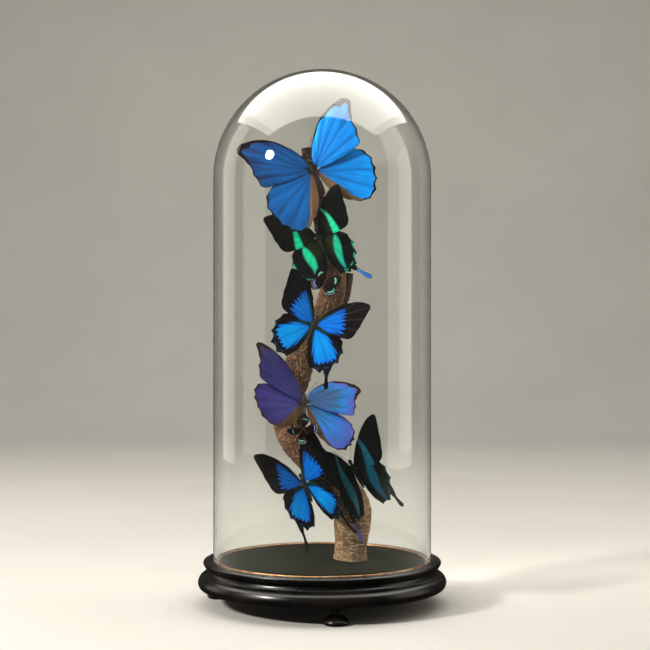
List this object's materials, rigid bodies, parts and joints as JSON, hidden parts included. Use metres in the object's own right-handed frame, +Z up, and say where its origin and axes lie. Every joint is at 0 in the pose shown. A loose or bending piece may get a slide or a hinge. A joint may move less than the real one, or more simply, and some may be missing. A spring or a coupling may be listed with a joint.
{
  "type": "insect in glass dome",
  "caption": "Dried butterflies pinned along an upright branch under a tall round-topped glass dome, on a turned black wooden base with bun feet.",
  "frame": {"origin": "middle of the underside of the feet, on the vertical axis of the dome and base", "axes": "+Z up along the axis of the dome, -Y towards the viewer of the display's front, +X to the right seen from the front"},
  "size_m": [0.2506, 0.2506, 0.5386],
  "materials": {
    "ebonised_wood": "black lacquer, satin",
    "copper_gilt": "satin",
    "clear_glass": "clear, blown",
    "bark": "rough bark and worn wood",
    "morpho_blue": "scaled insect wing, iridescent blue",
    "morpho_violet": "scaled insect wing, violet blue",
    "swallowtail_blue": "scaled insect wing, black with azure patches",
    "swallowtail_emerald": "scaled insect wing, green-black with emerald bands",
    "small_brown": "scaled insect wing, dark brown with turquoise bars"
  },
  "bodies": {
    "root": {"base_turned": "ebonised_wood", "foot_front": "ebonised_wood", "foot_back_left": "ebonised_wood", "foot_back_right": "ebonised_wood", "gilt_ring": "copper_gilt", "glass_dome": "clear_glass", "branch": "bark", "blue_morpho_top": "morpho_blue", "emerald_swallowtail": "swallowtail_emerald", "blue_swallowtail_middle": "swallowtail_blue", "violet_morpho": "morpho_violet", "blue_swallowtail_low": "swallowtail_blue", "teal_swallowtail": "swallowtail_emerald", "small_blue_upper": "small_brown", "small_blue_lower": "small_brown"}
  },
  "joints": []
}
